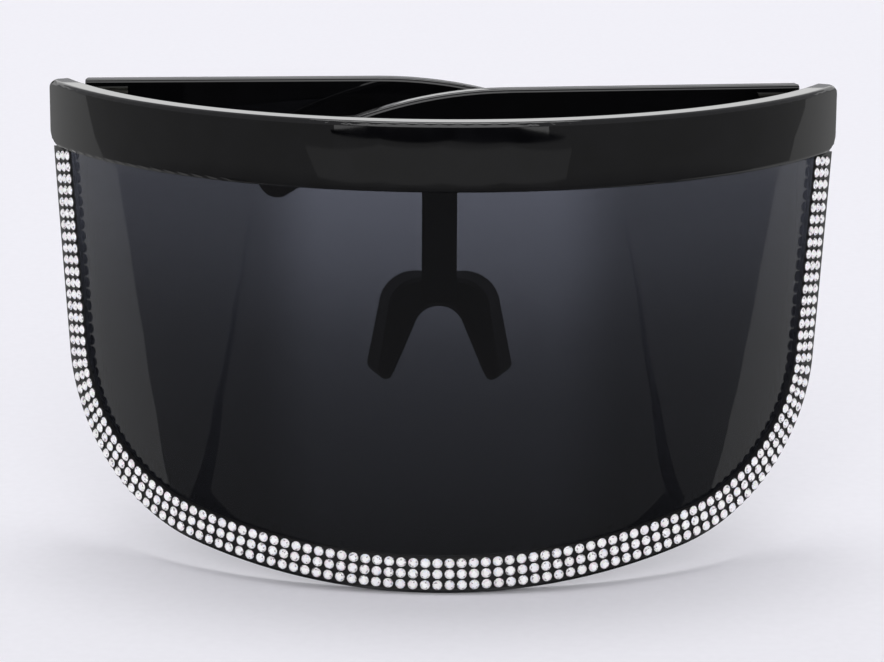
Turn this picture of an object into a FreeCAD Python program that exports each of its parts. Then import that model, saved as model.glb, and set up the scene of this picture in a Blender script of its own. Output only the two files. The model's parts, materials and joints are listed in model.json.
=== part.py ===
import FreeCAD
import Part
import math
import os

# Shield sunglasses with a one-piece smoke lens, a glossy brow bar and rhinestone banding.
#
# All sizes are in millimetres. The model is drawn with the top middle of the brow's front face at
# zero and is then moved so that the point where the nose saddle rests on the nose is the origin.
# +X is the wearer's left, -Y is the front, +Z is up. Left and right are the wearer's.
# The temples are drawn folded, the right one lying over the left one.

Vector = FreeCAD.Vector

# Front: overall size and the radius to which the brow and the lens are bent round the face
front_width = 152.0
front_height = 88.7
bend_radius = 85.3

# Brow bar
brow_height = 12.9
brow_depth = 4.6
brow_edge_round = 0.9
brow_top_corner = 1.6
brow_bottom_corner = 3.2

# Lens: a bent sheet with a tongue that sits in a groove under the brow
lens_thickness = 2.0
lens_setback = 1.5
lens_side_step = 0.9
lens_side_taper_deg = 4.4
lens_corner_radius = 33.0
lens_bottom_radius = 195.0
lens_tongue = 3.8
lens_tongue_inset = 5.0
seat_clearance = 0.05

# Rhinestone banding: three rows of stones on a flexible strip
row_count = 3
stone_pitch = 2.26
row_pitch = 2.1
stone_diameter = 1.96
stone_height = 0.6
stone_facets = 8
table_share = 0.56
strip_thickness = 0.85
strip_margin = 0.8
strip_gap = 0.12
corner_joint_deg = 26.5
corner_columns = 4

# Nose stem and saddle
stem_width = 6.4
stem_thickness = 2.4
stem_top = 2.2
stem_corner = 1.4
saddle_front = 5.2
saddle_top = 29.7
saddle_height = 19.3
saddle_arch = 5.3
saddle_half_width = 13.4
saddle_depth = 7.5
saddle_flare = 2.2
saddle_floor = 1.1
saddle_bevel = 0.7
stem_screw_count = 2
stem_screw_radius = 0.7
stem_screw_head_radius = 1.3
stem_screw_head_height = 0.6
stem_screw_depth = 2.0
stem_screw_spacing = 3.0
stem_screw_drop = 1.9

# Half of the saddle's outline as shares of its half width and height, from the top middle
saddle_outer_shares = ((0.27, 0.0), (0.66, 0.08), (0.84, 0.32), (0.99, 0.86), (0.93, 0.985), (0.80, 0.985))
saddle_inner_shares = ((0.72, 0.90), (0.40, 0.45))

# Temples
temple_thickness = 3.3
temple_tip_thickness = 2.4
temple_top = 0.7
temple_butt_height = 10.5
temple_middle_height = 7.6
temple_tip_height = 8.0
temple_reach = 108.0
temple_bend_start = 58.0
temple_bend_radius = 92.0
temple_bow = 2.5
temple_edge_round = 0.7
temple_tip_round = 3.6
left_fold_deg = -8.0
right_fold_deg = 5.0
open_stop_deg = 100.0
stop_gap = 0.05

# Hinges: knuckles on a screw, with riveted leaves
hinge_inset = 5.6
hinge_height = 7.5
knuckle_radius = 1.3
knuckle_count = 5
knuckle_gap = 0.06
swing_clearance = 0.12
leaf_thickness = 0.9
leaf_length = 8.5
leaf_start = 0.7
pin_radius = 0.55
pin_clearance = 0.03
pin_head_radius = 0.95
pin_head_height = 0.5
rivet_radius = 0.6
rivet_head_radius = 1.0
rivet_head_height = 0.35
rivet_depth = 1.6
rivet_clearance = 0.02
rivet_place_shares = (0.42, 0.8)

# Lugs: the squared-off ends of the brow that the open temples stop against
lug_top = 1.0
lug_height = 10.6
lug_back = 0.55
lug_overhang = 0.2
lug_clearance = 0.4
lug_skin = 0.3
lug_round = 0.6

# Reach of the cutting tools past what they cut
overrun = 5.0

half_width = front_width / 2
lens_half_width = half_width - lens_side_step
lens_tongue_half_width = lens_half_width - lens_tongue_inset
hinge_x = half_width - hinge_inset
temple_outer = hinge_inset - lug_overhang
temple_inner = temple_outer - temple_thickness
hinge_middle = temple_top + temple_butt_height / 2
knuckle_height = (hinge_height - (knuckle_count - 1) * knuckle_gap) / knuckle_count
lens_front = lens_setback + seat_clearance
lens_rear = lens_front + lens_thickness
strip_width = row_count * row_pitch
nose_rest = Vector(0, saddle_front + saddle_depth / 2, -saddle_top - saddle_arch)

# How far the front has turned where the brow ends, and how far the cutting tools go on past it
brow_angle = math.asin(half_width / bend_radius)
wide_angle = (brow_angle + math.pi / 2) / 2

# The hinge axis stands behind the brow's end, with room for the knuckles to turn
hinge_arc_radius = bend_radius - brow_depth - knuckle_radius - swing_clearance
hinge_turn = math.asin(hinge_x / hinge_arc_radius)
hinge_back = bend_radius - hinge_arc_radius * math.cos(hinge_turn)


def mirrored(shape):
    """The same shape on the other side of the middle plane."""
    return shape.mirror(Vector(), Vector(1, 0, 0))


def cylinder(radius, start, direction, length):
    return Part.makeCylinder(radius, length, start, direction)


def box(low, high):
    size = high - low
    return Part.makeBox(size.x, size.y, size.z, low)


def arc(start, through, end):
    return Part.Arc(start, through, end).toShape()


def line(start, end):
    return Part.LineSegment(start, end).toShape()


def prism(edges, direction):
    """A solid from a closed run of edges, pushed along a direction."""
    return Part.Face(Part.Wire(Part.__sortEdges__(edges))).extrude(direction)


def plan_point(offset, angle, height=0):
    """A point of the front's bend, moved back by an offset, where the bend has turned by an angle."""
    radius = bend_radius - offset
    return Vector(radius * math.sin(angle), bend_radius - radius * math.cos(angle), height)


def plan_angle(x, offset):
    """How far the bend, moved back by an offset, has turned at a place across the front."""
    return math.asin(x / (bend_radius - offset))


def plan_normal(angle):
    """The direction straight out of the front."""
    return Vector(math.sin(angle), -math.cos(angle), 0)


def bend_arc(offset, first, last, height):
    """The front's bend between two angles, moved back by an offset."""
    return arc(*[plan_point(offset, turn, height) for turn in (first, (first + last) / 2, last)])


def plate(front, rear, first, last, low, high):
    """A bent wall between two offsets and two angles."""
    edges = [bend_arc(offset, first, last, low) for offset in (front, rear)]
    for turn in (first, last):
        edges.append(line(plan_point(front, turn, low), plan_point(rear, turn, low)))
    return prism(edges, Vector(0, 0, high - low))


def band(front, rear, low, high):
    """A bent wall right across the front and on past its ends."""
    return plate(front, rear, -wide_angle, wide_angle, low, high)


def rounded_section(front, rear, low, high, radius, angle):
    """A rounded rectangle across the plan curve, as a closed wire."""
    bend = radius * (1 - math.sqrt(1 / 2))
    corners = ((front, low, 1, 1), (rear, low, -1, 1), (rear, high, -1, -1), (front, high, 1, -1))
    edges = []
    ends = []
    for offset, height, inward, upward in corners:
        along = plan_point(offset + inward * radius, angle, height)
        middle = plan_point(offset + inward * bend, angle, height + upward * bend)
        across = plan_point(offset, angle, height + upward * radius)
        edges.append(arc(along, middle, across))
        ends.append((along, across))
    edges.append(line(ends[0][0], ends[1][0]))
    edges.append(line(ends[1][1], ends[2][1]))
    edges.append(line(ends[2][0], ends[3][0]))
    edges.append(line(ends[3][1], ends[0][1]))
    return Part.Wire(Part.__sortEdges__(edges))


def front_view(x, z):
    """A point of a front outline, in a plane ahead of the whole front."""
    return Vector(x, -overrun, z)


def through_front(edges):
    """A front outline pushed back through the whole depth."""
    return prism(edges, Vector(0, hinge_back + overrun + overrun, 0))


def on_spoke(point, depth):
    """Where the spoke of the bend through a point of the lens's front view is at a given depth."""
    spread = math.tan(plan_angle(point.x, lens_front))
    return Vector((bend_radius - depth) * spread, depth, point.z)


def along_spokes(edges):
    """A front outline carried back through the front square to its bend, along the bend's spokes."""
    samples = 24
    wires = []
    for depth in (-overrun, hinge_back + overrun):
        spread = []
        for edge in edges:
            curve = Part.BSplineCurve()
            curve.interpolate([on_spoke(point, depth) for point in edge.discretize(Number=samples)])
            spread.append(curve.toShape())
        wires.append(Part.Wire(Part.__sortEdges__(spread)))
    return Part.makeLoft(wires, True, True)


class Outline:
    """The lens's outline in the front view, drawn in by an inset measured on its bent surface."""

    def __init__(self, inset):
        slant = math.cos(plan_angle(lens_half_width - strip_width / 2, lens_front))
        taper = math.radians(lens_side_taper_deg)
        self.top = Vector(lens_half_width - inset * slant, 0, -brow_height)
        self.corner_radius = lens_corner_radius - inset * (1 + slant) / 2
        self.bottom_radius = lens_bottom_radius - inset
        self.bottom = Vector(0, 0, inset - front_height)
        center = self.bottom + Vector(0, 0, self.bottom_radius)
        inward = Vector(-math.cos(taper), 0, math.sin(taper))
        down = Vector(-math.sin(taper), 0, -math.cos(taper))
        start = self.top + inward * self.corner_radius - center
        reach = self.bottom_radius - self.corner_radius
        half = start.dot(down)
        travel = math.sqrt(half * half - start.dot(start) + reach * reach) - half
        self.corner = center + start + down * travel
        self.first_angle = -math.atan2(math.sin(taper), math.cos(taper))
        away = self.corner - center
        self.last_angle = math.atan2(away.z, away.x)

    def on_corner(self, angle):
        radius = self.corner_radius
        return self.corner + Vector(radius * math.cos(angle), 0, radius * math.sin(angle))

    def side_edge(self):
        return line(self.top, self.on_corner(self.first_angle))

    def corner_edge(self, first, last):
        return arc(*[self.on_corner(turn) for turn in (first, (first + last) / 2, last)])

    def bottom_edge(self):
        end = self.on_corner(self.last_angle)
        return arc(end, self.bottom, Vector(-end.x, end.y, end.z))

    def solid(self, top_half_width, top):
        """Everything inside the outline, carried up to a height with a width of its own."""
        half = [self.side_edge(), self.corner_edge(self.first_angle, self.last_angle)]
        step = Vector(top_half_width, 0, -brow_height)
        if (step - self.top).Length > 0:
            half.append(line(self.top, step))
        half.append(line(step, Vector(top_half_width, 0, top)))
        edges = half + [mirrored(edge) for edge in half]
        edges.append(self.bottom_edge())
        edges.append(line(Vector(top_half_width, 0, top), Vector(-top_half_width, 0, top)))
        return along_spokes(edges)


def brow_outline():
    """The brow in the front view, with rounded corners."""
    edges = []
    ends = []
    corners = ((0, brow_top_corner, -1), (-brow_height, brow_bottom_corner, 1))
    for height, radius, inward in corners:
        bend = radius * (1 - math.sqrt(1 / 2))
        along = front_view(half_width - radius, height)
        middle = front_view(half_width - bend, height + inward * bend)
        upright = front_view(half_width, height + inward * radius)
        edges.append(arc(along, middle, upright))
        ends.append((along, upright))
    edges.append(line(ends[0][1], ends[1][1]))
    edges += [mirrored(edge) for edge in edges]
    for along, upright in ends:
        edges.append(line(along, Vector(-along.x, along.y, along.z)))
    return edges


def brow_lug():
    """The left end of the brow squared off behind, for the open temple to stop against."""
    low = Vector(hinge_x + temple_inner + lug_clearance, 0, -lug_top - lug_height)
    high = Vector(half_width - lug_overhang, hinge_back + lug_back, -lug_top)
    block = box(low, high)
    corners = [edge for edge in block.Edges if is_rear_upright(edge, high.y)]
    behind = band(lug_skin, hinge_back, -brow_height, 0)
    return block.makeFillet(lug_round, corners).common(behind)


def is_rear_upright(edge, rear):
    """True for an upright edge that lies on a rear face."""
    first, last = [vertex.Point for vertex in edge.Vertexes]
    return first.y == last.y == rear and first.z != last.z


def make_brow():
    path = Part.Wire(bend_arc(0, -brow_angle, brow_angle, 0))
    section = rounded_section(0, brow_depth, -brow_height, 0, brow_edge_round, -brow_angle)
    bar = path.makePipeShell([section], True, True)
    bar = bar.common(through_front(brow_outline()))
    lug = brow_lug()
    bar = bar.fuse([lug, mirrored(lug)]).removeSplitter()
    groove_top = -brow_height + lens_tongue + seat_clearance
    groove = band(lens_front - seat_clearance, lens_rear + seat_clearance, -brow_height - overrun, groove_top)
    reach = lens_tongue_half_width + seat_clearance
    middle = box(Vector(-reach, -overrun, -brow_height - overrun), Vector(reach, hinge_back, groove_top))
    bar = bar.cut(groove.common(middle))
    holes = [hole for hole, _ in front_rivets()] + [hole for hole, _ in stem_screws()]
    holes += [mirrored(hole) for hole, _ in front_rivets()]
    return bar.cut(holes)


def make_lens():
    sheet = band(lens_front, lens_rear, -front_height - overrun, 0)
    top = -brow_height + lens_tongue
    lens = sheet.common(Outline(0).solid(lens_tongue_half_width, top))
    shoulder = box(Vector(-front_width, -overrun, -brow_height - seat_clearance),
                   Vector(-lens_tongue_half_width, hinge_back, -brow_height + overrun))
    return lens.cut([shoulder, mirrored(shoulder)])


def sector(outline, first, last):
    """A wedge of the front view about the corner's centre, pushed through the front."""
    reach = front_width + front_height
    middle = outline.corner
    sides = 4
    points = [front_view(middle.x, middle.z)]
    for step in range(sides + 1):
        turn = first + (last - first) * step / sides
        points.append(front_view(middle.x + reach * math.cos(turn), middle.z + reach * math.sin(turn)))
    edges = [line(a, b) for a, b in zip(points, points[1:] + points[:1])]
    return through_front(edges)


def make_strips():
    """The banding's backing: the left side piece, the left corner piece and the bottom piece."""
    outer = Outline(strip_margin)
    inner = Outline(strip_margin + strip_width)
    middle = Outline(strip_margin + strip_width / 2)
    layer = band(lens_front - strip_thickness, lens_front, -front_height, -brow_height - strip_gap)
    ring = outer.solid(outer.top.x, 0).cut(inner.solid(inner.top.x, 0)).common(layer)
    first, last = corner_joints(middle)
    gap = strip_gap / middle.corner_radius
    past_top = math.pi * 3 / 4
    side = ring.common(sector(middle, first + gap / 2, past_top))
    corner = ring.common(sector(middle, last + gap / 2, first - gap / 2))
    ends = sector(middle, last - gap / 2, past_top)
    bottom = ring.cut([ends, mirrored(ends)])
    return side, corner, bottom


def corner_joints(outline):
    """The two places on the corner where one length of banding ends and the next starts."""
    first = -math.radians(corner_joint_deg)
    step = strip_gap / outline.corner_radius
    last = first
    length = 0
    while length < corner_columns * stone_pitch:
        ends = [outline.on_corner(turn) for turn in (last, last - step)]
        start, end = [on_strip(point.x, point.z)[0] for point in ends]
        length += (end - start).Length
        last -= step
    return first, last


def on_strip(x, z):
    """The place on the banding's face, and the way out of it, behind a point of the front view."""
    offset = lens_front - strip_thickness
    angle = plan_angle(x, offset)
    return plan_point(offset, angle, z), plan_normal(angle)


def walk(edges):
    """Even places along a run of front-view edges, a pitch or a little more apart on the surface."""
    samples = 400
    wire = Part.Wire(Part.__sortEdges__(edges))
    trail = [on_strip(point.x, point.z)[0] for point in wire.discretize(Number=samples)]
    lengths = [0]
    for a, b in zip(trail, trail[1:]):
        lengths.append(lengths[-1] + (b - a).Length)
    count = max(1, round(lengths[-1] / stone_pitch))
    places = []
    index = 0
    for number in range(count):
        target = lengths[-1] * (number + 0.5) / count
        while lengths[index + 1] < target:
            index += 1
        share = (target - lengths[index]) / (lengths[index + 1] - lengths[index])
        along = trail[index + 1] - trail[index]
        places.append((trail[index] + along * share, along))
    return places


def make_stone():
    """One flat-backed stone standing on zero: a faceted crown rising to a flat table."""
    rings = []
    for radius, height in ((stone_diameter / 2, 0), (stone_diameter / 2 * table_share, stone_height)):
        turns = [2 * math.pi * number / stone_facets for number in range(stone_facets)]
        rings.append([Vector(radius * math.cos(turn), radius * math.sin(turn), height) for turn in turns])
    low, high = rings
    faces = [low[::-1], high]
    for number in range(stone_facets):
        after = (number + 1) % stone_facets
        faces.append([low[number], low[after], high[after], high[number]])
    faces = [Part.Face(Part.makePolygon(face + face[:1])) for face in faces]
    return Part.Solid(Part.Shell(faces))


def stones(places):
    """A row of stones across the banding at each place along its middle."""
    pattern = make_stone()
    made = []
    for place, along in places:
        out = on_strip(place.x, place.z)[1]
        across = out.cross(along).normalize()
        for row in range(row_count):
            step = across * row_pitch * (row - (row_count - 1) / 2)
            seat, way = on_strip(place.x + step.x, place.z + step.z)
            placed = pattern.copy()
            placed.Placement = FreeCAD.Placement(seat, FreeCAD.Rotation(Vector(0, 0, 1), way))
            made.append(placed)
    return Part.makeCompound(made)


def make_stones():
    outline = Outline(strip_margin + strip_width / 2)
    first, last = corner_joints(outline)
    top = outline.top - Vector(0, 0, strip_gap)
    side = [line(top, outline.on_corner(outline.first_angle))]
    side.append(outline.corner_edge(outline.first_angle, first))
    corner = [outline.corner_edge(first, last)]
    end = outline.corner_edge(last, outline.last_angle)
    bottom = [end, outline.bottom_edge(), mirrored(end)]
    return [stones(walk(edges)) for edges in (side, corner, bottom)]


def make_stem():
    foot = -saddle_top - saddle_arch + saddle_floor
    sheet = band(brow_depth, brow_depth + stem_thickness, foot, -stem_top)
    edges = []
    half = stem_width / 2
    bend = stem_corner * (1 - math.sqrt(1 / 2))
    bottom = -saddle_top - saddle_arch
    shoulder = arc(front_view(half - stem_corner, -stem_top), front_view(half - bend, -stem_top - bend),
                   front_view(half, -stem_top - stem_corner))
    upright = line(front_view(half, -stem_top - stem_corner), front_view(half, bottom))
    edges += [shoulder, upright, mirrored(shoulder), mirrored(upright)]
    edges.append(line(front_view(half - stem_corner, -stem_top), front_view(stem_corner - half, -stem_top)))
    edges.append(line(front_view(half, bottom), front_view(-half, bottom)))
    stem = sheet.common(through_front(edges))
    return stem.cut([hole for hole, _ in stem_screws()])


def stem_screws():
    """Each screw that holds the stem to the brow, with the hole it sits in."""
    pairs = []
    for number in range(stem_screw_count):
        height = -stem_top - stem_screw_drop - number * stem_screw_spacing
        back = Vector(0, brow_depth + stem_thickness + rivet_clearance, height)
        tip = Vector(0, brow_depth - stem_screw_depth, height)
        length = (back - tip).Length
        shank = cylinder(stem_screw_radius, tip, Vector(0, 1, 0), length)
        head = cylinder(stem_screw_head_radius, back, Vector(0, 1, 0), stem_screw_head_height)
        hole = cylinder(stem_screw_radius + rivet_clearance, tip - Vector(0, rivet_clearance, 0),
                        Vector(0, 1, 0), length + overrun)
        pairs.append((hole, shank.fuse(head).removeSplitter()))
    return pairs


def saddle_section(depth, scale):
    """The saddle's outline at one depth, as a closed wire of arcs and lines."""
    half_width_here = saddle_half_width * scale

    def points(shares):
        return [Vector(half_width_here * x, depth, -saddle_top - saddle_height * z) for x, z in shares]

    outer = points(saddle_outer_shares)
    inner = points(saddle_inner_shares)
    crown = Vector(0, depth, -saddle_top - saddle_arch)
    half = [arc(*outer[0:3]), line(outer[2], outer[3]), arc(*outer[3:6]), line(outer[5], inner[0])]
    half.append(line(inner[0], inner[1]))
    edges = half + [mirrored(edge) for edge in half]
    edges.append(line(outer[0], Vector(-outer[0].x, outer[0].y, outer[0].z)))
    edges.append(arc(inner[1], crown, Vector(-inner[1].x, inner[1].y, inner[1].z)))
    return Part.Wire(Part.__sortEdges__(edges))


def drawn_in(wire, step):
    """A wire drawn in by a bevel, its corners kept sharp, and moved along the depth by a step."""
    smaller = wire.makeOffset2D(-saddle_bevel, join=2)
    smaller.translate(Vector(0, step, 0))
    return smaller


def make_saddle():
    narrow = 1 - saddle_flare / saddle_half_width
    front = saddle_section(saddle_front + saddle_bevel, narrow)
    rear = saddle_section(saddle_front + saddle_depth - saddle_bevel, 1)
    sections = [drawn_in(front, -saddle_bevel), front, rear, drawn_in(rear, saddle_bevel)]
    saddle = Part.makeLoft(sections, True, True)
    half = stem_width / 2 + seat_clearance
    groove = box(Vector(-half, 0, -saddle_top - saddle_arch + saddle_floor - seat_clearance),
                 Vector(half, brow_depth + stem_thickness + seat_clearance * 2, 0))
    return saddle.cut(groove)


def temple_blank():
    """A temple lying straight along +X from its hinge axis, with its inner face towards the lens."""
    stop = math.radians(open_stop_deg)
    stop_depth = lug_back + stop_gap

    def butt(t):
        return (stop_depth - t * math.cos(stop)) / math.sin(stop)

    top = -temple_top
    tip_turn = math.asin((temple_reach - temple_bend_start) / temple_bend_radius)

    def bent(turn, height):
        radius = temple_bend_radius - height
        return Vector(temple_bend_start + radius * math.sin(turn), -overrun,
                      top - temple_bend_radius + radius * math.cos(turn))

    even_height = (temple_middle_height + temple_tip_height) / 2
    turns = (0, tip_turn / 2, tip_turn)
    heights = (temple_middle_height, even_height, temple_tip_height)
    upper = [bent(turn, 0) for turn in turns]
    lower = [bent(turn, height) for turn, height in zip(turns, heights)]
    butt_top = Vector(0, -overrun, top)
    butt_bottom = Vector(0, -overrun, top - temple_butt_height)
    side = [line(butt_top, upper[0]), arc(*upper), line(upper[2], lower[2]), arc(*lower)]
    side += [line(lower[0], butt_bottom), line(butt_bottom, butt_top)]
    bar = prism(side, Vector(0, temple_outer + overrun * 2, 0))

    low = top - temple_bend_radius
    thinning = (temple_thickness - temple_tip_thickness) / 2
    length = temple_reach + overrun

    def plan(x, t):
        return Vector(x, t, low)

    def bowed(face, thin):
        """One face in plan: straight from the hinge, then bowed towards the lens."""
        middle = (temple_bend_start + length) / 2
        ends = [plan(temple_bend_start, face), plan(middle, face - (temple_bow - thin) / 4),
                plan(length, face - temple_bow + thin)]
        return [line(plan(butt(face), face), ends[0]), arc(*ends)], ends[2]

    inner_edges, inner_end = bowed(temple_inner, thinning)
    outer_edges, outer_end = bowed(temple_outer, -thinning)
    edges = inner_edges + outer_edges + [line(inner_end, outer_end)]
    edges.append(line(plan(butt(temple_inner), temple_inner), plan(butt(temple_outer), temple_outer)))
    blank = bar.common(prism(edges, Vector(0, 0, temple_bend_radius * 2)))
    tips = [edge for edge in blank.Edges if is_tip_edge(edge)]
    blank = blank.makeFillet(temple_tip_round, tips)
    longs = [edge for edge in blank.Edges if edge.Length > temple_bend_start / 2]
    blank = blank.makeFillet(temple_edge_round, longs)
    return blank.cut([hole for hole, _ in temple_rivets()])


def is_tip_edge(edge):
    """True for the two short edges across the temple's end."""
    ends = [vertex.Point for vertex in edge.Vertexes]
    far = min(point.x for point in ends) > temple_reach - temple_tip_height
    return far and abs(ends[0].y - ends[1].y) > temple_tip_thickness / 2


def knuckle_span(number):
    low = -hinge_middle - hinge_height / 2 + number * (knuckle_height + knuckle_gap)
    return low, low + knuckle_height


def knuckles(numbers, radius, grow):
    """The barrels of a leaf, about the upright axis at zero, each as its own solid."""
    made = []
    for number in numbers:
        low, high = knuckle_span(number)
        made.append(cylinder(radius, Vector(0, 0, low - grow), Vector(0, 0, 1), high - low + grow * 2))
    return made


def hinge_numbers(first):
    return range(first, knuckle_count, 2)


def hinge_bore():
    """The hole for the screw through every barrel, with the seat for its head on top."""
    low = -hinge_middle - hinge_height / 2
    bore = cylinder(pin_radius + pin_clearance, Vector(0, 0, low - overrun), Vector(0, 0, 1), overrun * 4)
    head = Vector(0, 0, low + hinge_height - pin_head_height - pin_clearance)
    return bore.fuse(cylinder(pin_head_radius + pin_clearance, head, Vector(0, 0, 1), overrun))


def hinge_pin():
    low = -hinge_middle - hinge_height / 2
    shank = cylinder(pin_radius, Vector(0, 0, low), Vector(0, 0, 1), hinge_height)
    head = cylinder(pin_head_radius, Vector(0, 0, low + hinge_height - pin_head_height), Vector(0, 0, 1),
                    pin_head_height)
    return shank.fuse(head).removeSplitter()


def temple_leaf():
    """The leaf on the temple's inner face, in the temple's own frame."""
    low = -hinge_middle - hinge_height / 2
    face = temple_inner - leaf_thickness
    far_corner = Vector(leaf_start + leaf_length, temple_inner, low + hinge_height)
    flap = box(Vector(leaf_start, face, low), far_corner)
    flap = flap.cut(knuckles(hinge_numbers(0), knuckle_radius + swing_clearance, knuckle_gap))
    webs = []
    for number in hinge_numbers(1):
        bottom, top = knuckle_span(number)
        webs.append(box(Vector(0, 0, bottom), Vector(knuckle_radius + leaf_start, face, top)))
    leaf = flap.fuse(knuckles(hinge_numbers(1), knuckle_radius, 0) + webs).removeSplitter()
    return leaf.cut([hinge_bore()] + [hole for hole, _ in temple_rivets()])


def rivet(start, direction, length):
    """A rivet with its head at the start, and the hole that it fills."""
    shank = cylinder(rivet_radius, start, direction, length)
    head = cylinder(rivet_head_radius, start - direction * rivet_head_height, direction, rivet_head_height)
    hole = cylinder(rivet_radius + rivet_clearance, start, direction, length + rivet_clearance)
    return hole, head.fuse(shank).removeSplitter()


def temple_rivets():
    pairs = []
    for share in rivet_place_shares:
        start = Vector(leaf_start + leaf_length * share, temple_inner - leaf_thickness, -hinge_middle)
        pairs.append(rivet(start, Vector(0, 1, 0), leaf_thickness + rivet_depth))
    return pairs


def front_rivets():
    pairs = []
    rear = brow_depth + leaf_thickness + rivet_clearance
    for share in rivet_place_shares:
        turn = hinge_turn - leaf_length * share / (bend_radius - brow_depth)
        start = plan_point(rear, turn, -hinge_middle)
        pairs.append(rivet(start, plan_normal(turn), leaf_thickness + rivet_depth))
    return pairs


def front_leaf():
    """The leaf on the back of the brow's left end, bent to the brow."""
    low = -hinge_middle - hinge_height / 2
    axis = Vector(hinge_x, hinge_back, 0)
    first = hinge_turn - leaf_length / (bend_radius - brow_depth)
    flap = plate(brow_depth, brow_depth + leaf_thickness, first, hinge_turn, low, low + hinge_height)
    room = knuckles(hinge_numbers(1), knuckle_radius + swing_clearance, knuckle_gap)
    barrels = knuckles(hinge_numbers(0), knuckle_radius, 0)
    bore = hinge_bore()
    for shape in room + barrels + [bore]:
        shape.translate(axis)
    leaf = flap.cut(room).fuse(barrels).removeSplitter()
    return leaf.cut([bore] + [hole for hole, _ in front_rivets()])


def on_right(shape, fold_deg):
    """Turn a temple piece about its hinge axis and put it at the right end of the brow."""
    moved = shape.copy()
    moved.rotate(Vector(), Vector(0, 0, 1), fold_deg)
    moved.translate(Vector(-hinge_x, hinge_back, 0))
    return moved


def export(name, shape):
    """Move a piece to the part's origin and write it."""
    placed = shape.copy()
    placed.translate(nose_rest * -1)
    if len(placed.Solids) == 1:
        placed = placed.Solids[0]
    placed.exportStep("parts/" + name + ".step")
    print(name, len(placed.Solids), "solids", round(placed.Volume, 2), "mm3", "valid", placed.isValid())


def main():
    os.makedirs("parts", exist_ok=True)
    export("brow_bar", make_brow())
    export("shield_lens", make_lens())
    export("nose_stem", make_stem())
    export("nose_stem_screws", Part.makeCompound([screw for _, screw in stem_screws()]))
    export("nose_saddle", make_saddle())

    axis = Vector(hinge_x, hinge_back, 0)
    pin = hinge_pin()
    pin.translate(axis)
    left_front = {
        "front_hinge_leaf": front_leaf(),
        "front_hinge_rivets": Part.makeCompound([made for _, made in front_rivets()]),
        "hinge_screw": pin,
    }
    for name, shape in left_front.items():
        export("left_" + name, shape)
        export("right_" + name, mirrored(shape))

    temple_pieces = {
        "temple": temple_blank(),
        "temple_hinge_leaf": temple_leaf(),
        "temple_hinge_rivets": Part.makeCompound([made for _, made in temple_rivets()]),
    }
    for name, shape in temple_pieces.items():
        export("left_" + name, mirrored(on_right(shape, left_fold_deg)))
        export("right_" + name, on_right(shape, right_fold_deg))

    side, corner, bottom = make_strips()
    side_stones, corner_stones, bottom_stones = make_stones()
    for name, shape in (("side_strip", side), ("corner_strip", corner),
                        ("side_stones", side_stones), ("corner_stones", corner_stones)):
        export("left_" + name, shape)
        export("right_" + name, mirrored(shape))
    export("bottom_strip", bottom)
    export("bottom_stones", bottom_stones)


main()
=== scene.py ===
# %% [markdown]
# # Shield sunglasses with rhinestone banding
#
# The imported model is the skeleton: brow bar, one-piece lens, nose stem and saddle, hinges and
# temples already have their true shape and place. This script dresses them. It gives every piece
# the finish of the real material, cuts the brow's mesh finer, swaps the plain stones for cut ones,
# and sets up a small studio. All lengths are in metres, in the model's own frame: +X is the
# wearer's left, -Y is the front.

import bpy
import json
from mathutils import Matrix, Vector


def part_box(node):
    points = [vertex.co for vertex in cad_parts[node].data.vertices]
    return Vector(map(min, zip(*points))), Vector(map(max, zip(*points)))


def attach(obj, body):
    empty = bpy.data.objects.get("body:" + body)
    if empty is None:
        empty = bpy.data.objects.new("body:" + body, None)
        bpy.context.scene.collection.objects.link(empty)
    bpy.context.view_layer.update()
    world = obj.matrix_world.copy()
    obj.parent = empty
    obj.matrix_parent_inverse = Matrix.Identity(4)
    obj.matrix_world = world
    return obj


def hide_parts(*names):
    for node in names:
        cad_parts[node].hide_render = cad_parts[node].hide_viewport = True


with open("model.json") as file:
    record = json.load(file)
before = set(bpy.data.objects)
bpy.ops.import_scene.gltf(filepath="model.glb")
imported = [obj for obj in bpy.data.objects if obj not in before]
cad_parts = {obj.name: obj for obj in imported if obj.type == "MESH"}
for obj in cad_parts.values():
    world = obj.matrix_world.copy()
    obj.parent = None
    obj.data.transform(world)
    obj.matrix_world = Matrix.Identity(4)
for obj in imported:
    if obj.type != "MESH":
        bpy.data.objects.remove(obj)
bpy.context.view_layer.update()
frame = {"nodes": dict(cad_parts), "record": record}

# %% Names used by every step
import json
import math
import random

import bmesh
import bpy
from mathutils import Matrix, Vector

mm = 0.001

# %% [markdown]
# ## Helpers for finishes
#
# Colours are picked on a screen, so they are written as sRGB hex values. Shaders count light,
# so the first helper makes a colour linear. The second starts a material from nothing, and the third
# adds one node to it, sets its values and links what feeds it. With them a finish reads as a short
# recipe.

# %% Colour and node helpers
def linear(hex_colour):
    """An sRGB hex colour as linear RGBA."""
    values = []
    for start in (1, 3, 5):
        share = int(hex_colour[start:start + 2], 16) / 255
        values.append(share / 12.92 if share <= 0.04045 else ((share + 0.055) / 1.055) ** 2.4)
    return (*values, 1.0)


def blank(name):
    """A new material with an empty node tree."""
    material = bpy.data.materials.new(name)
    material.use_nodes = True
    material.node_tree.nodes.clear()
    return material


def add(material, kind, feeds=None, stops=(), **settings):
    """One new node: inputs set or linked by name or number, ramp stops, and settings by attribute."""
    made = material.node_tree.nodes.new(kind)
    for name, value in settings.items():
        setattr(made, name, value)
    for socket, value in (feeds or {}).items():
        if isinstance(value, bpy.types.NodeSocket):
            material.node_tree.links.new(value, made.inputs[socket])
        else:
            made.inputs[socket].default_value = value
    if stops:
        elements = made.color_ramp.elements
        while len(elements) < len(stops):
            elements.new(0.5)
        for element, (place, colour) in zip(elements, stops):
            element.position = place
            element.color = colour
    return made


print("white paper #f2f1f6 is", [round(value, 3) for value in linear("#f2f1f6")[:3]], "in linear light")

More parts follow.
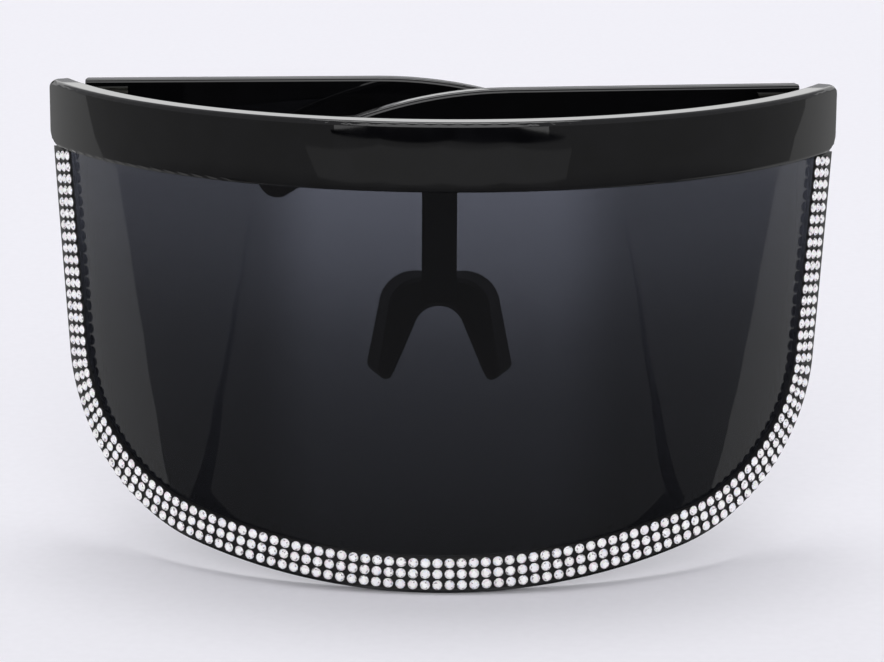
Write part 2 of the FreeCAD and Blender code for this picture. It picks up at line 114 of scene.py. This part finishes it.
# %% [markdown]
# ## Polished black plastic
#
# The brow, the stem and the temples are injection moulded and tumbled until they shine. The plastic
# is so dark that almost everything the eye sees on it is reflection, so the base colour stays close
# to black and the gloss does the work. One even roughness would look like wet paint, and polishing
# never comes out quite even, so soft patches about 6 mm wide vary it a little. Most values of a noise
# lie between 0.3 and 0.7, and that span is spread over the two ends of a colour or a roughness.

# %% Finish: polished black plastic
finishes = {}
noise_low, noise_high = 0.3, 0.7
polish_patch = 6 * mm


def polished_plastic():
    material = blank("polished moulded polycarbonate")
    place = add(material, "ShaderNodeTexCoord").outputs["Object"]
    patches = add(material, "ShaderNodeTexNoise", {
        "Vector": place, "Scale": 1 / polish_patch, "Detail": 2.0}).outputs["Fac"]
    colour = add(material, "ShaderNodeValToRGB", {"Fac": patches}, stops=(
        (noise_low, linear("#050506")), (noise_high, linear("#09090b"))))
    polish = add(material, "ShaderNodeMapRange", {
        "Value": patches, "From Min": noise_low, "From Max": noise_high, "To Min": 0.015, "To Max": 0.03})
    shader = add(material, "ShaderNodeBsdfPrincipled", {
        "Base Color": colour.outputs["Color"], "Roughness": polish.outputs["Result"],
        "IOR": 1.5, "Specular IOR Level": 0.42})
    add(material, "ShaderNodeOutputMaterial", {"Surface": shader.outputs["BSDF"]})
    return material


finishes["black_gloss_plastic"] = polished_plastic()
print("brow, stem and temples:", finishes["black_gloss_plastic"].name)

# %% [markdown]
# ## Smoke lens
#
# The lens is one polycarbonate sheet, dyed dark smoke with a breath of blue. A closed sheet is crossed
# twice by every line of sight, so each of its two faces lets through only part of the light. That
# part falls from the brow to the bottom edge: partly a graded dye, and partly painted shade for the
# floor behind the lower lens, which lies in the glasses' own shadow. It falls again from the middle to
# the sides, and that is painted shade for the longer slanted path through the bent sheet. True
# refraction would be slow and hardly bends a thin sheet's light, so a glossy face is mixed with a
# tinted see-through one. Where each share holds is read from places in the model's own frame. A hard
# coat keeps the reflections low.

# %% Finish: dyed polycarbonate lens
lens_low, lens_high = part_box("shield_lens")
# See-through share by height: partly a graded dye, partly painted shade for the shadowed floor behind the
# lower lens.
dye_and_shade_by_height = ((0.0, 0.075), (0.45, 0.147), (0.6, 0.188), (0.8, 0.278), (1.0, 0.345))
clear_half, side_shade_half = 20 * mm, 36 * mm
side_shade_share = 0.68
dye_patch, dye_drift = 14 * mm, 0.02


def smoke_lens():
    material = blank("dyed smoke polycarbonate")
    place = add(material, "ShaderNodeTexCoord").outputs["Object"]
    parts = add(material, "ShaderNodeSeparateXYZ", {"Vector": place}).outputs
    uneven = add(material, "ShaderNodeTexNoise", {"Vector": place, "Scale": 1 / dye_patch, "Detail": 1.0})
    rise = add(material, "ShaderNodeMapRange", {
        "Value": parts["Z"], "From Min": lens_low.z, "From Max": lens_high.z})
    height = add(material, "ShaderNodeMath", {
        0: uneven.outputs["Fac"], 1: dye_drift, 2: rise.outputs["Result"]}, operation="MULTIPLY_ADD")
    clear = add(material, "ShaderNodeValToRGB", {"Fac": height.outputs["Value"]}, stops=[
        (level, (share, share, share, 1.0)) for level, share in dye_and_shade_by_height])
    # Painted shade: the see-through share drops from the middle to the sides, for the slanted path through
    # the bent sheet.
    sideways = add(material, "ShaderNodeMath", {0: parts["X"]}, operation="ABSOLUTE")
    side_shade = add(material, "ShaderNodeMapRange", {
        "Value": sideways.outputs["Value"], "From Min": clear_half, "From Max": side_shade_half,
        "To Min": 1.0, "To Max": side_shade_share}, interpolation_type="SMOOTHSTEP")
    passes = add(material, "ShaderNodeMath", {
        0: clear.outputs["Color"], 1: side_shade.outputs["Result"]}, operation="MULTIPLY")
    see_through = add(material, "ShaderNodeBsdfTransparent", {"Color": linear("#f1f5ff")})
    face = add(material, "ShaderNodeBsdfPrincipled", {
        "Base Color": linear("#070709"), "Roughness": 0.03, "IOR": 1.58, "Specular IOR Level": 0.36})
    shader = add(material, "ShaderNodeMixShader", {
        0: passes.outputs["Value"], 1: face.outputs["BSDF"], 2: see_through.outputs["BSDF"]})
    add(material, "ShaderNodeOutputMaterial", {"Surface": shader.outputs["Shader"]})
    return material


finishes["smoke_lens"] = smoke_lens()
print("lens from", round(lens_low.z / mm, 1), "to", round(lens_high.z / mm, 1), "mm high")

# %% [markdown]
# ## Soft saddle
#
# The saddle is moulded silicone. Its satin skin spreads the light, so the eye sees a soft grey sheen
# and no sharp reflection. A fine noise of 0.8 mm varies both the colour and the roughness.

# %% Finish: satin silicone
skin_grain = 0.8 * mm


def satin_silicone():
    material = blank("satin moulded silicone")
    place = add(material, "ShaderNodeTexCoord").outputs["Object"]
    skin = add(material, "ShaderNodeTexNoise", {
        "Vector": place, "Scale": 1 / skin_grain, "Detail": 3.0}).outputs["Fac"]
    colour = add(material, "ShaderNodeValToRGB", {"Fac": skin}, stops=(
        (noise_low, linear("#0c0c0e")), (noise_high, linear("#121214"))))
    satin = add(material, "ShaderNodeMapRange", {
        "Value": skin, "From Min": noise_low, "From Max": noise_high, "To Min": 0.38, "To Max": 0.5})
    shader = add(material, "ShaderNodeBsdfPrincipled", {
        "Base Color": colour.outputs["Color"], "Roughness": satin.outputs["Result"], "IOR": 1.41})
    add(material, "ShaderNodeOutputMaterial", {"Surface": shader.outputs["BSDF"]})
    return material


finishes["saddle_rubber"] = satin_silicone()
print("saddle:", finishes["saddle_rubber"].name)

# %% [markdown]
# ## Steel hinges
#
# The hinge leaves, rivets and screws are rolled steel, plated dark. Rolling leaves fine streaks about
# half a millimetre apart. Drawing each streak would take far too many faces, so a noise is stretched
# along the two level directions until it looks like streaks.

# %% Finish: nickel-plated steel
streak_gap = 0.5 * mm
streak_stretch = (0.1, 0.1, 1.0)


def plated_steel():
    material = blank("dark nickel-plated steel")
    place = add(material, "ShaderNodeTexCoord").outputs["Object"]
    stretched = add(material, "ShaderNodeMapping", {"Vector": place, "Scale": streak_stretch})
    streaks = add(material, "ShaderNodeTexNoise", {
        "Vector": stretched.outputs["Vector"], "Scale": 1 / streak_gap, "Detail": 2.0}).outputs["Fac"]
    colour = add(material, "ShaderNodeValToRGB", {"Fac": streaks}, stops=(
        (noise_low, linear("#55544f")), (noise_high, linear("#6a6964"))))
    rolled = add(material, "ShaderNodeMapRange", {
        "Value": streaks, "From Min": noise_low, "From Max": noise_high, "To Min": 0.22, "To Max": 0.36})
    shader = add(material, "ShaderNodeBsdfPrincipled", {
        "Base Color": colour.outputs["Color"], "Roughness": rolled.outputs["Result"], "Metallic": 1.0})
    add(material, "ShaderNodeOutputMaterial", {"Surface": shader.outputs["BSDF"]})
    return material


finishes["hinge_steel"] = plated_steel()
print("hinges, rivets and screws:", finishes["hinge_steel"].name)

# %% [markdown]
# ## Black banding net
#
# The banding is a black resin net that holds the stones. It comes out of the mould slightly pebbled,
# with grains about a third of a millimetre wide, which gives it a broken, dull shine. The grains are
# too small to model, so a bump stands in for them.

# %% Finish: pebbled resin net
net_grain = 0.33 * mm
pebble_depth = 0.05 * mm


def resin_net():
    material = blank("pebbled black resin")
    place = add(material, "ShaderNodeTexCoord").outputs["Object"]
    grains = add(material, "ShaderNodeTexNoise", {
        "Vector": place, "Scale": 1 / net_grain, "Detail": 2.0}).outputs["Fac"]
    colour = add(material, "ShaderNodeValToRGB", {"Fac": grains}, stops=(
        (noise_low, linear("#0d0c0d")), (noise_high, linear("#1a191b"))))
    pebbles = add(material, "ShaderNodeBump", {
        "Height": grains, "Strength": 0.3, "Distance": pebble_depth})
    shader = add(material, "ShaderNodeBsdfPrincipled", {
        "Base Color": colour.outputs["Color"], "Roughness": 0.42, "IOR": 1.5,
        "Normal": pebbles.outputs["Normal"]})
    add(material, "ShaderNodeOutputMaterial", {"Surface": shader.outputs["BSDF"]})
    return material


finishes["banding"] = resin_net()
print("banding:", finishes["banding"].name)

# %% [markdown]
# ## Foil-backed glass
#
# Each rhinestone is clear glass, cut with flat facets and silvered behind. Light that enters comes
# back through other facets, so a stone seen from anywhere is a small patchwork of bright and grey
# flats, some with a hint of colour. Tracing that light through hundreds of tiny stones is slow and
# noisy, so each facet carries a painted tone instead, a painted reflection of that bright, grey or
# faintly coloured light, and the glass on top adds the sparkle.

# %% Finish: foil-backed glass
painted_reflection_layer = "facet"


def foiled_glass():
    material = blank("foil-backed cut glass")
    tone = add(material, "ShaderNodeAttribute", attribute_name=painted_reflection_layer)
    # The attribute holds each facet's painted reflection tone.
    shader = add(material, "ShaderNodeBsdfPrincipled", {
        "Base Color": tone.outputs["Color"], "Roughness": 0.1, "IOR": 1.55})
    add(material, "ShaderNodeOutputMaterial", {"Surface": shader.outputs["BSDF"]})
    return material


finishes["rhinestone"] = foiled_glass()
print("stones:", finishes["rhinestone"].name)

# %% [markdown]
# ## Dress the model
#
# Each real piece is made of one material, and the record names the slot it belongs to. So one loop
# over the record gives every piece its finish, and no piece is picked by hand.

# %% Give every piece its finish
def dress(piece, slot_name):
    """Give a piece the finish of its slot and nothing else."""
    piece.data.materials.clear()
    piece.data.materials.append(finishes[slot_name])


subparts = frame["record"]["subparts"]
for subpart in subparts:
    dress(frame["nodes"][subpart["node"]], subpart["material_slot"])
print(len(subparts), "pieces dressed with", len(finishes), "finishes")

# %% [markdown]
# ## Helpers for new pieces
#
# A piece of the model comes as loose triangles, so a copy has its doubles merged before it is used.
# A new piece is drawn in a bmesh, turned into a mesh and put in the scene. It keeps its place in its
# mesh, so the object itself stays at the origin. Then it is told its finish and that it belongs to
# the front.

# %% Piece helpers
merge_distance = 0.001 * mm


def merged_copy(node):
    """A copy of a model piece with its loose triangles joined."""
    copy = bmesh.new()
    copy.from_mesh(frame["nodes"][node].data)
    bmesh.ops.remove_doubles(copy, verts=copy.verts, dist=merge_distance)
    return copy


def as_mesh(name, drawn):
    """A mesh from a finished drawing, which is then freed."""
    mesh = bpy.data.meshes.new(name)
    drawn.to_mesh(mesh)
    drawn.free()
    return mesh


def as_object(name, data):
    """A mesh, a light or a camera put in the scene."""
    made = bpy.data.objects.new(name, data)
    bpy.context.collection.objects.link(made)
    return made


def join_front(piece, slot_name, stands_for=None):
    """Dress a piece of the front, which may stand in for a piece of the model."""
    dress(piece, slot_name)
    if stands_for:
        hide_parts(stands_for)
    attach(piece, "front")


print("corners closer than", merge_distance / mm, "mm are merged")

# %% [markdown]
# ## A finer brow
#
# The brow is bent round one upright axis, and gloss shows every straight step of its mesh. So a copy
# of the brow is cut finer along the bend: every edge that spans more than one degree of the bend is
# split in the middle, and the new point keeps the radius of its two ends, which puts it back on the
# bend. Plain subdivision would leave the new points on the old straight steps.

# %% Cut a copy of the brow finer
bend_radius = 85.3 * mm
bend_axis = Vector((0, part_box("brow_bar")[0].y + bend_radius, 0))
widest_step = math.radians(1)


def polar(point):
    """Turn about the bend's axis, radius and height of a point."""
    return Vector((math.atan2(point.x, bend_axis.y - point.y), (point - bend_axis).xy.length, point.z))


def from_polar(place):
    turn, radius, height = place
    return Vector((radius * math.sin(turn), bend_axis.y - radius * math.cos(turn), height))


def split_along_bend(drawn):
    """Split the edges that span too much of the bend. Returns how many were split."""
    wide = [edge for edge in drawn.edges
            if abs(polar(edge.verts[0].co).x - polar(edge.verts[1].co).x) > widest_step]
    for edge in wide:
        start, end = (polar(vert.co) for vert in edge.verts)
        new_vert = bmesh.utils.edge_split(edge, edge.verts[0], 0.5)[1]
        new_vert.co = from_polar((start + end) / 2)
    bmesh.ops.triangulate(drawn, faces=[face for face in drawn.faces if len(face.verts) > 3])
    return len(wide)


fine_brow = merged_copy("brow_bar")
coarse_count = len(fine_brow.faces)
while split_along_bend(fine_brow):
    pass
bmesh.ops.recalc_face_normals(fine_brow, faces=fine_brow.faces)
for face in fine_brow.faces:
    face.smooth = True
print("brow mesh from", coarse_count, "to", len(fine_brow.faces), "faces")

# %% [markdown]
# ## Even gloss on the brow
#
# Blender's own smooth shading averages across small and large faces and makes the reflections ripple.
# So every corner is given its direction. Where a large face of the bend meets a rounded edge, both
# take the large face's direction, rounded so that its neighbours agree. The other corners of the
# rounded edges take the mean of the faces that meet there. The directions are turned back to the
# middle of the bend first, because each face looks a little to its own side.

# %% Set the directions of the brow's corners
sharp_corner = math.radians(35)
large_area = 0.5 * mm * mm
direction_digits = 2


def corner_normals(drawn):
    """One direction for each corner of each face."""
    drawn.normal_update()
    turn_of = {vert: polar(vert.co).x for vert in drawn.verts}
    unturned = {}
    for face in drawn.faces:
        turns = [turn_of[vert] for vert in face.verts]
        back = Matrix.Rotation(-(min(turns) + max(turns)) / 2, 3, "Z")
        unturned[face] = back @ face.normal * face.calc_area() ** 2
    for face in drawn.faces:
        for vert in face.verts:
            near = [other for other in vert.link_faces
                    if other is face or other.normal.dot(face.normal) > math.cos(sharp_corner)]
            largest = max(near, key=lambda other: other.calc_area())
            if largest.calc_area() > large_area:
                way = Vector(round(value, direction_digits) for value in unturned[largest].normalized())
            else:
                way = sum((unturned[other] for other in near), Vector())
            yield Matrix.Rotation(turn_of[vert], 3, "Z") @ way.normalized()


brow_normals = list(corner_normals(fine_brow))
brow_mesh = as_mesh("polished_brow", fine_brow)
brow_mesh.normals_split_custom_set(brow_normals)
polished_brow = as_object("polished_brow", brow_mesh)
join_front(polished_brow, "black_gloss_plastic", "brow_bar")
print(polished_brow.name, "has directions at", len(brow_normals), "corners")

# %% [markdown]
# ## One cut stone
#
# A small rhinestone has a flat table on top, a ring of facets below it and a thin upright girdle at
# the rim. The corners lie on circles of different sizes, and every facet is flat, so the stone is
# the convex hull of those circles. The hull is drawn once and then placed hundreds of times, so it
# stays at a few dozen faces.

# %% Draw one cut stone
stone_radius = 0.98 * mm
stone_height = 0.6 * mm
girdle_height = 0.10 * mm
table_radius = 0.5 * stone_radius
shoulder_radius = 0.8 * stone_radius
shoulder_height = 0.40 * mm
table_corners, girdle_corners = 8, 16
table_turn = math.pi / table_corners
flat_angle = math.radians(1)


def cut_stone():
    stone = bmesh.new()
    rings = ((girdle_corners, stone_radius, 0, 0), (girdle_corners, stone_radius, girdle_height, 0),
             (table_corners, shoulder_radius, shoulder_height, 0),
             (table_corners, table_radius, stone_height, table_turn))
    for corners, radius, height, turn in rings:
        place = Matrix.Translation((0, 0, height)) @ Matrix.Rotation(turn, 4, "Z")
        bmesh.ops.create_circle(stone, segments=corners, radius=radius, matrix=place)
    bmesh.ops.convex_hull(stone, input=stone.verts)
    bmesh.ops.dissolve_limit(stone, angle_limit=flat_angle, verts=stone.verts, edges=stone.edges)
    bmesh.ops.recalc_face_normals(stone, faces=stone.faces)
    return as_mesh("cut_stone", stone)


stone_pattern = cut_stone()
print("one stone has", len(stone_pattern.polygons), "facets")

# %% [markdown]
# ## One cup
#
# Every stone sits in a low cup of the net, whose rim stands a little above the stone's foot. A rim
# is a small bent ridge turned once round, so its section of three points is spun through a full
# circle.

# %% Draw one cup rim
cup_outer = 1.06 * mm
cup_top = 1.0 * mm
cup_inner = 0.96 * mm
cup_height = 0.22 * mm
cup_steps = 12


def cup_rim():
    rim = bmesh.new()
    points = ((cup_outer, 0, 0), (cup_top, 0, cup_height), (cup_inner, 0, cup_height))
    section = [rim.verts.new(point) for point in points]
    edges = [rim.edges.new(pair) for pair in zip(section, section[1:])]
    bmesh.ops.spin(rim, geom=section + edges, cent=(0, 0, 0), axis=(0, 0, 1), angle=math.tau,
                   steps=cup_steps, use_merge=True)
    bmesh.ops.remove_doubles(rim, verts=rim.verts, dist=merge_distance)
    bmesh.ops.recalc_face_normals(rim, faces=rim.faces)
    return as_mesh("cup_rim", rim)


rim_pattern = cup_rim()
print("one cup rim has", len(rim_pattern.polygons), "faces")

# %% [markdown]
# ## Where the stones sit
#
# The model already knows every stone's seat. A copy of a stone piece is merged into closed shells,
# one for each stone. The eight corners nearest to a shell's middle are its table and the others are
# its foot, and from foot to table is the way the stone faces.

# %% Read the seats
seat_corners = 8


def shells(drawn):
    """The corners of each separate shell of a merged mesh."""
    seen = set()
    for start in drawn.verts:
        if start.index in seen:
            continue
        seen.add(start.index)
        shell = [start]
        for vert in shell:
            for edge in vert.link_edges:
                other = edge.other_vert(vert)
                if other.index not in seen:
                    seen.add(other.index)
                    shell.append(other)
        yield [vert.co.copy() for vert in shell]


def middle_of(points):
    return sum(points, Vector()) / len(points)


def seats(node):
    """The foot and the facing direction of every stone of a piece."""
    copy = merged_copy(node)
    copy.verts.index_update()
    found = []
    for points in shells(copy):
        middle = middle_of(points)
        points.sort(key=lambda point: (point - middle).length)
        table = middle_of(points[:seat_corners])
        foot = middle_of(points[seat_corners:])
        found.append((foot, (table - foot).normalized()))
    copy.free()
    return found


stone_nodes = [subpart["node"] for subpart in subparts if subpart["material_slot"] == "rhinestone"]
seats_of = {node: seats(node) for node in stone_nodes}
print({node: len(found) for node, found in seats_of.items()})

# %% [markdown]
# ## Set the stones
#
# Each stone is turned at random about its own axis and tilted by a degree or two, because glue never
# holds two of them quite alike. Its facets get painted reflection tones from a short list: mostly
# white, some grey, a few with a hint of rose, green or blue. A fixed seed gives the same stones on
# every run.

# %% Place and tint copies
chance = random.Random(12)
stone_tilt = math.radians(1.5)
# Painted reflections: these tones stand in for the light the foil sends back through each facet.
table_reflection_tones = ("#ffffff", "#fdfcfa", "#f8f6f4", "#f6f4f8")
crown_reflection_tones = ("#ffffff", "#ffffff", "#f7f5f5", "#f0edee", "#e2dee0",
               "#f6e6ee", "#ebf2e6", "#e6ecf8", "#a39fa3")


def seated(foot, way, tilt):
    """The placement of a piece standing on a seat, turned and tilted at random."""
    lean = Matrix.Rotation(chance.uniform(-tilt, tilt), 4, "X")
    turn = Matrix.Rotation(chance.uniform(0, math.tau), 4, "Z")
    return Matrix.Translation(foot) @ way.to_track_quat("Z", "Y").to_matrix().to_4x4() @ lean @ turn


def place_copies(pattern, placements):
    """One drawing of many placed copies of a pattern."""
    drawn = bmesh.new()
    for placement in placements:
        first = len(drawn.verts)
        drawn.from_mesh(pattern)
        drawn.verts.ensure_lookup_table()
        bmesh.ops.transform(drawn, matrix=placement, verts=drawn.verts[first:])
    return drawn


def paint_reflections(stones):
    """A painted reflection tone for every facet: bright for the tables, mixed for the facets round them.
    """
    layer = stones.loops.layers.float_color.new(painted_reflection_layer)
    for face in stones.faces:
        tones = table_reflection_tones if len(face.verts) == table_corners else crown_reflection_tones
        tone = linear(chance.choice(tones))
        for loop in face.loops:
            loop[layer] = tone


print(len(table_reflection_tones), "tones for the tables and", len(crown_reflection_tones), "for the other facets")

# %% Set the stones and their cups
for node, found in seats_of.items():
    stones = place_copies(stone_pattern, [seated(foot, way, stone_tilt) for foot, way in found])
    paint_reflections(stones)
    cut_name = node.replace("stones", "cut_stones")
    cut = as_object(cut_name, as_mesh(cut_name, stones))
    join_front(cut, "rhinestone", node)
    rims = place_copies(rim_pattern, [seated(foot, way, 0) for foot, way in found])
    cup_name = node.replace("stones", "cups")
    cups = as_object(cup_name, as_mesh(cup_name, rims))
    join_front(cups, "banding")
    print(cut.name, len(cut.data.polygons), "facets,", cups.name, len(cups.data.polygons), "faces")

# %% [markdown]
# ## Floor
#
# The glasses stand on a plain pale sheet of paper that fills the picture. Paper is matt, so the eye
# sees its own tone and the soft shadow and no reflection. Its fibres are finer than the picture can
# show, so they are drawn as a faint cloud of 2 mm.

# %% Floor
floor_height = lens_low.z
floor_reach = 4.0
fibre_cloud = 2 * mm


def paper():
    material = blank("matt pale paper")
    place = add(material, "ShaderNodeTexCoord").outputs["Object"]
    fibre = add(material, "ShaderNodeTexNoise", {"Vector": place, "Scale": 1 / fibre_cloud, "Detail": 2.0})
    colour = add(material, "ShaderNodeValToRGB", {"Fac": fibre.outputs["Fac"]}, stops=(
        (noise_low, linear("#f1f0f5")), (noise_high, linear("#f3f2f7"))))
    shader = add(material, "ShaderNodeBsdfDiffuse", {"Color": colour.outputs["Color"]})
    add(material, "ShaderNodeOutputMaterial", {"Surface": shader.outputs["BSDF"]})
    return material


def sheet(name, corners, material):
    """A flat sheet of the studio with its corners given in order."""
    drawn = bmesh.new()
    drawn.faces.new([drawn.verts.new(corner) for corner in corners])
    bmesh.ops.recalc_face_normals(drawn, faces=drawn.faces)
    piece = as_object(name, as_mesh(name, drawn))
    piece.data.materials.append(material)
    return piece


def on_floor(plan, lift=0.0):
    """Points of a plan, set on the floor or a little above it."""
    return [(x, y, floor_height + lift) for x, y in plan]


floor_plan = ((-floor_reach, -floor_reach), (floor_reach, -floor_reach),
              (floor_reach, floor_reach), (-floor_reach, floor_reach))
sheet("floor", on_floor(floor_plan), paper())
print("floor at", round(floor_height / mm, 1), "mm")

# %% [markdown]
# ## Cards for the glossy faces
#
# Glossy black shows nothing but its surroundings. In a studio dark cards lie in front, so the middle
# of the lens stays deep and only its sides pick up the pale table. Cards could be lit by lamps, but
# an even glow of their own is easier to set. What the lens shows lies within about 40 cm of it, and
# what the brow shows lies beyond, so the large dark card turns paler there. All cards are seen by
# reflections alone: each is a glowing sheet and no lamp, which gives no diffuse light and casts no
# shadow, so what the cards show on the glossy faces are painted reflections.

# %% Card finishes
ring_squeeze = 0.88
ring_inner, ring_outer = 0.39, 0.42
ring_dark, ring_pale = 0.20, 0.33


def even_tone(name, level):
    """A finish that glows evenly at one level of light."""
    material = blank(name)
    glow = add(material, "ShaderNodeEmission", {"Color": linear("#ffffff"), "Strength": level})
    add(material, "ShaderNodeOutputMaterial", {"Surface": glow.outputs["Emission"]})
    return material


def ring_tone():
    """A painted reflection glow: dark near the lens, paler beyond the ring that the lens can show."""
    material = blank("dark studio card")
    place = add(material, "ShaderNodeTexCoord").outputs["Object"]
    oval = add(material, "ShaderNodeMapping", {"Vector": place, "Scale": (ring_squeeze, 1.0, 0.0)})
    away = add(material, "ShaderNodeVectorMath", {0: oval.outputs["Vector"]}, operation="LENGTH")
    level = add(material, "ShaderNodeMapRange", {
        "Value": away.outputs["Value"], "From Min": ring_inner, "From Max": ring_outer,
        "To Min": ring_dark, "To Max": ring_pale})
    glow = add(material, "ShaderNodeEmission", {
        "Color": linear("#ffffff"), "Strength": level.outputs["Result"]})
    add(material, "ShaderNodeOutputMaterial", {"Surface": glow.outputs["Emission"]})
    return material


def card(name, corners, material):
    """A sheet that only reflections can see."""
    piece = sheet(name, corners, material)
    piece.visible_camera = False
    piece.visible_diffuse = False
    piece.visible_transmission = False
    piece.visible_shadow = False


print("the dark card turns paler from", ring_inner, "to", ring_outer, "m away")

# %% [markdown]
# ## Cards on the floor
#
# The bent front spreads what it reflects like a fan, so the cards are cut as fans too. Over the large
# dark one lies a smaller card with a black edge, which draws the thin dark line on each side of the
# lens. A grey card, a lit strip and a black shape over it show in the middle of the brow. The cards
# lie in layers, each half a millimetre above the one before.

# %% Lay the cards
card_step = 0.5 * mm
edge_width = 10 * mm
fan = ((-0.101, 0.002), (-0.158, 0.003), (-0.235, 0.013), (-0.341, 0.042), (-0.449, 0.086),
       (-0.499, 0.155), (-0.572, 0.224), (-1.2, 0.60), (-1.2, -0.60), (1.2, -0.60), (1.2, 0.60),
       (0.546, 0.230), (0.504, 0.170), (0.428, 0.105), (0.320, 0.052), (0.229, 0.022),
       (0.162, 0.007), (0.112, 0.002))
inner_fan = ((-0.088, -0.015), (-0.156, -0.060), (-0.234, -0.130), (-0.320, -0.227), (-0.25, -0.31),
             (0.0, -0.395), (0.25, -0.31), (0.302, -0.231), (0.231, -0.140), (0.155, -0.067),
             (0.089, -0.018))
strip = ((-0.263, -0.458), (-0.250, -0.435), (-0.180, -0.470), (0.0, -0.505), (0.157, -0.482),
         (0.244, -0.431), (0.260, -0.463), (0.14, -0.510), (0.0, -0.526), (-0.14, -0.508))
black_shape = ((-0.257, -0.427), (-0.181, -0.471), (-0.170, -0.484), (0.0, -0.512), (0.141, -0.495),
               (0.158, -0.483), (0.236, -0.436), (0.278, -0.402), (0.261, -0.406), (0.14, -0.452),
               (0.018, -0.474), (-0.141, -0.457), (-0.249, -0.423))
grey_patch = ((-0.295, -0.374), (-0.14, -0.452), (0.0, -0.470), (0.152, -0.447), (0.279, -0.382),
              (0.24, -0.345), (0.12, -0.39), (0.0, -0.405), (-0.12, -0.39), (-0.24, -0.345))
dark_edge = [(x, y + edge_width) for x, y in inner_fan]
# The table card, the fans, the grey card and the black shape are painted reflections; the lit strip is a
# painted highlight round the black shape.
floor_cards = (
    ("table_card", floor_plan, even_tone("pale grey table", 0.62)),
    ("dark_card", fan, ring_tone()),
    ("dark_edge", dark_edge, even_tone("black card edge", 0.05)),
    ("inner_card", inner_fan, even_tone("dark grey card", 0.19)),
    ("grey_patch", grey_patch, even_tone("grey card", 0.5)),
    ("strip_light", strip, even_tone("lit strip", 1.8)),
    ("black_shape", black_shape, even_tone("black reflection card", 0.0)))
for layer, (name, plan, finish) in enumerate(floor_cards, 1):
    card(name, on_floor(plan, layer * card_step), finish)
print(len(floor_cards), "cards on the floor")

# %% [markdown]
# ## Card behind
#
# Seen from the front, the brow's top face mirrors what stands behind the glasses. A white card
# there, above the temples, glows and is seen only in reflections, so the bright line it draws along
# the top is a painted highlight.

# %% Stand the white card
back_low, back_high = 45.5 * mm, 75 * mm
back_side, back_away = 200 * mm, 100 * mm
back_corners = ((-back_side, back_away, back_low), (back_side, back_away, back_low),
                (back_side, back_away, back_high), (-back_side, back_away, back_high))
card("white_card", back_corners, even_tone("white studio card", 1.4))
print("white card from", round(back_low / mm, 1), "to", round(back_high / mm, 1), "mm high")

# %% [markdown]
# ## Light
#
# An even pale world fills every shade. One soft light hangs above and a little behind, so a close
# shadow lies under the bottom edge. A second, broad one comes from the front and makes the stones
# bright. Together they light a white sheet to about its own value.

# %% Light
world_strength = 0.61
world = bpy.data.worlds.new("pale studio")
world.use_nodes = True
world.node_tree.nodes["Background"].inputs["Color"].default_value = linear("#f4f4f8")
world.node_tree.nodes["Background"].inputs["Strength"].default_value = world_strength
bpy.context.scene.world = world


def softbox(name, strength, width_deg, way):
    """A broad far light that shines along a given way."""
    light = bpy.data.lights.new(name, "SUN")
    light.energy = strength
    light.angle = math.radians(width_deg)
    lamp = as_object(name, light)
    lamp.rotation_euler = Vector(way).to_track_quat("-Z", "Y").to_euler()
    return light


overhead = softbox("overhead_softbox", strength=1.05, width_deg=32, way=(0.0, -0.18, -1.0))
frontal = softbox("frontal_softbox", strength=1.2, width_deg=50, way=(0.0, 0.95, -0.3))
print("world", world_strength, "overhead", round(overhead.energy, 2), "front", round(frontal.energy, 2))

# %% [markdown]
# ## Camera
#
# The photograph looks down by about 13 degrees from 60 cm away, through a long lens. The picture is
# turned by a third of a degree.

# %% Camera
picture_turn = math.radians(0.32)
look_at = Vector((0.00062, -0.00895, -0.00331))
camera_data = bpy.data.cameras.new("photo_camera")
camera_data.sensor_width = 36.0
camera_data.lens = 134.39
camera = as_object("photo_camera", camera_data)
camera.location = (0.00706, -0.59282, 0.13473)
aim = (look_at - camera.location).to_track_quat("-Z", "Y").to_matrix().to_4x4()
camera.rotation_euler = (aim @ Matrix.Rotation(picture_turn, 4, "Z")).to_euler()
bpy.context.scene.camera = camera
bpy.context.scene.view_settings.view_transform = "Standard"
print("camera", round((look_at - camera.location).length, 3), "m away")
